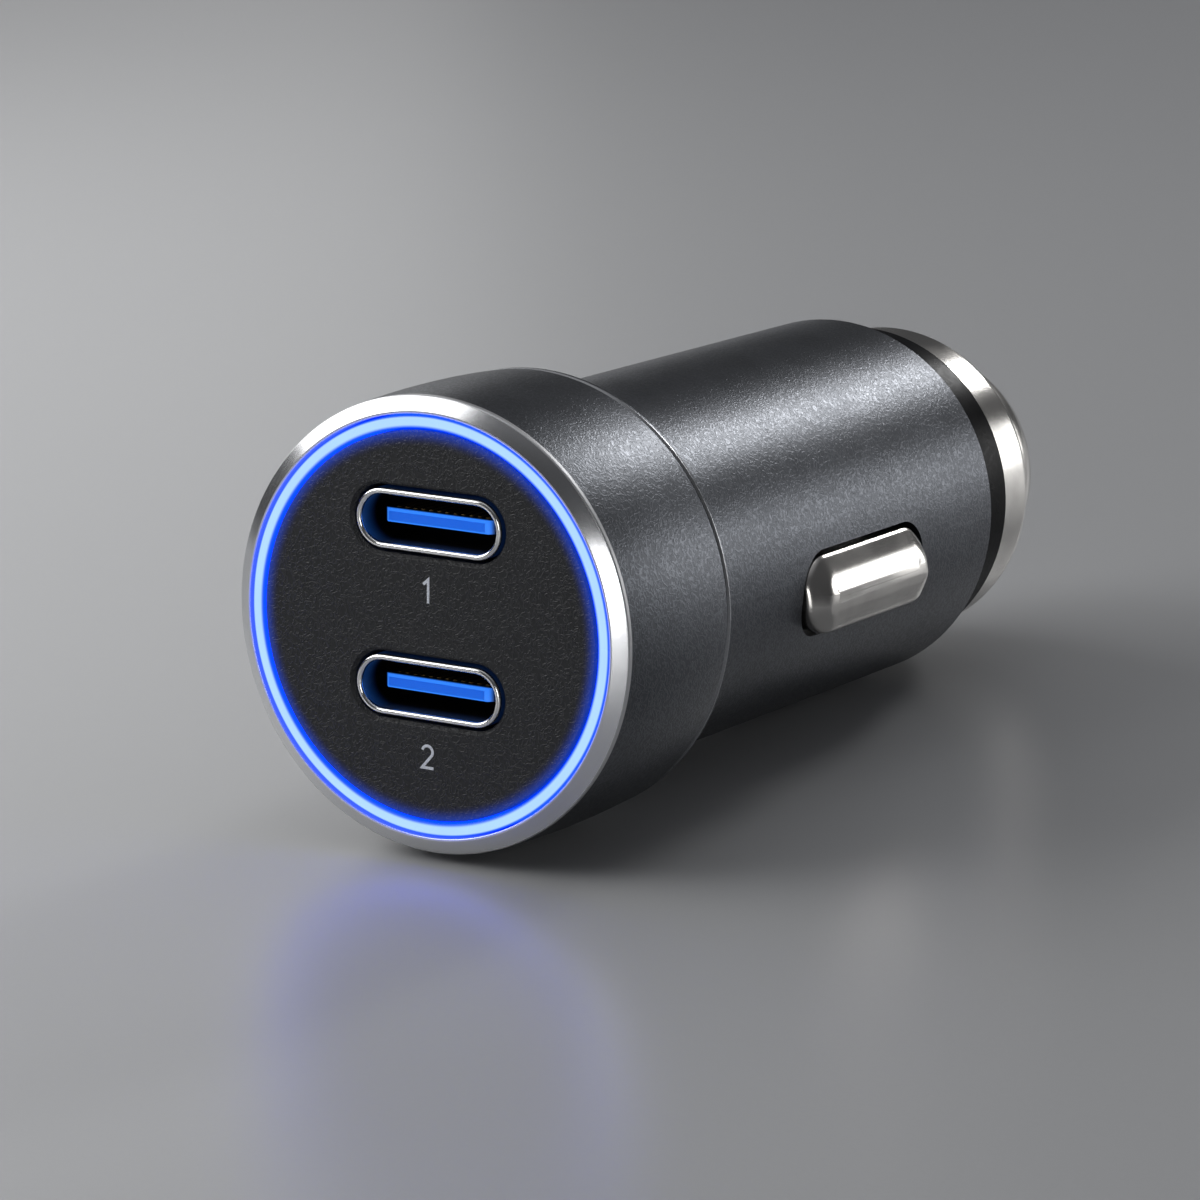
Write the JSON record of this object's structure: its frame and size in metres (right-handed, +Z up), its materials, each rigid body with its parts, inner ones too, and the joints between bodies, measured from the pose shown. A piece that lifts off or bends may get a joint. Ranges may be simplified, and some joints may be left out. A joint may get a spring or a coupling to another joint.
{
  "type": "car usb charger plug",
  "caption": "Short metal car charger plug: round head with reversible data ports in a black face, a lit blue ring, sprung side contacts and a sprung domed nose pin.",
  "frame": {"origin": "on the surface the plug lies on, under the middle of its box", "axes": "+Z up; +Y from the face with the ports to the nose, along the plug as it lies; +X to the right of someone who looks at the face from in front. The plug's own axis lies in the Y-Z plane and drops 2.98 degrees towards the nose."},
  "size_m": [0.0244, 0.057, 0.0246],
  "materials": {
    "anodised_head": "bead-blasted dark grey anodising with a polished bevel",
    "lit_ring": "clear, lit from behind",
    "anodised_barrel": "bead-blasted dark grey anodising",
    "faceplate_black": "fine leather grain",
    "shell_steel": "drawn, polished lip",
    "insert_blue": "moulded",
    "contact_gilt": "gilt",
    "board_green": "solder mask",
    "lamp_white": "moulded",
    "choke_grey": "pressed powder",
    "can_aluminium": "drawn",
    "chip_black": "moulded",
    "ceramic_tan": "fired",
    "fuse_white": "fired",
    "carrier_black": "moulded",
    "plated_steel": "polished",
    "spring_steel": "drawn",
    "spring_bronze": "rolled",
    "insulator_black": "moulded"
  },
  "bodies": {
    "plug": {"head_collar": "anodised_head", "light_ring": "lit_ring", "faceplate": "faceplate_black", "port_shell_upper": "shell_steel", "port_shell_lower": "shell_steel", "port_insert_upper": "insert_blue", "port_insert_lower": "insert_blue", "port_contacts_upper": "contact_gilt", "port_contacts_lower": "contact_gilt", "front_board": "board_green", "ring_lamps": "lamp_white", "main_board": "board_green", "choke_front": "choke_grey", "choke_rear": "choke_grey", "input_capacitor": "can_aluminium", "output_capacitor": "can_aluminium", "buck_controller": "chip_black", "port_controllers": "chip_black", "power_switches": "chip_black", "ceramic_capacitors": "ceramic_tan", "sense_resistor": "chip_black", "fuse": "fuse_white", "inner_carrier": "carrier_black", "barrel_shell": "anodised_barrel", "contact_spring_left": "spring_bronze", "contact_spring_right": "spring_bronze", "insulator_ring": "insulator_black", "nose_ring": "plated_steel", "pin_spring": "spring_steel", "centre_terminal": "spring_bronze"},
    "centre_pin": {"centre_pin": "plated_steel"},
    "side_contact_left": {"side_contact_left": "plated_steel"},
    "side_contact_right": {"side_contact_right": "plated_steel"}
  },
  "joints": [
    {"name": "centre_pin_slide", "type": "slide", "parent": "plug", "child": "centre_pin", "axis": [0, -0.9986, 0.052], "range_m": [0, 0.0025], "stiffness_N_per_m": 1400, "springref_m": -0.0016, "deforming": ["pin_spring"]},
    {"name": "side_contact_left_slide", "type": "slide", "parent": "plug", "child": "side_contact_left", "axis": [0.9945, 0.0054, 0.1044], "range_m": [0, 0.0011], "stiffness_N_per_m": 2500, "springref_m": -0.0008, "deforming": ["contact_spring_left"]},
    {"name": "side_contact_right_slide", "type": "slide", "parent": "plug", "child": "side_contact_right", "axis": [-0.9945, 0.0054, 0.1044], "range_m": [0, 0.0011], "stiffness_N_per_m": 2500, "springref_m": -0.0008, "deforming": ["contact_spring_right"]}
  ]
}
